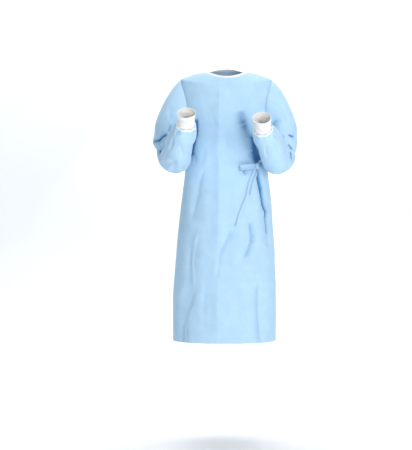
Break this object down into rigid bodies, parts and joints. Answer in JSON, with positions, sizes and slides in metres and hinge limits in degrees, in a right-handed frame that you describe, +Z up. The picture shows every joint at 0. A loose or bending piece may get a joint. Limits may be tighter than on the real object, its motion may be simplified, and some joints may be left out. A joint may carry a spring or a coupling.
{
  "type": "surgical gown",
  "caption": "Long-sleeved wrap-back surgical gown in worn shape, with knit cuffs, a bound round neck and a side-tied waist strip.",
  "frame": {"origin": "between the shoulders, on the shoulder line at the height of the sides of the neck, where the wearer's shoulders carry the gown", "axes": "+Z up, towards the neck; -Y is the gown's front; +X is the wearer's left, the side of the tie's knot"},
  "size_m": [0.6053, 0.5574, 1.1564],
  "materials": {
    "gown_cloth": "light blue nonwoven, soft and matt, with packing creases",
    "cuff_knit": "white rib knit, stretchy, matt",
    "binding_cloth": "white folded binding, stitched, matt",
    "tie_cloth": "light blue folded nonwoven strip, matt"
  },
  "bodies": {
    "root": {"front": "gown_cloth", "back_left": "gown_cloth", "back_right": "gown_cloth", "sleeve_left": "gown_cloth", "sleeve_right": "gown_cloth", "cuff_left": "cuff_knit", "cuff_right": "cuff_knit", "neck_binding": "binding_cloth", "tie_wrap": "tie_cloth", "tie_knot": "tie_cloth", "tie_loop_upper": "tie_cloth", "tie_loop_lower": "tie_cloth", "tie_tail_long": "tie_cloth", "tie_tail_short": "tie_cloth"}
  },
  "joints": []
}
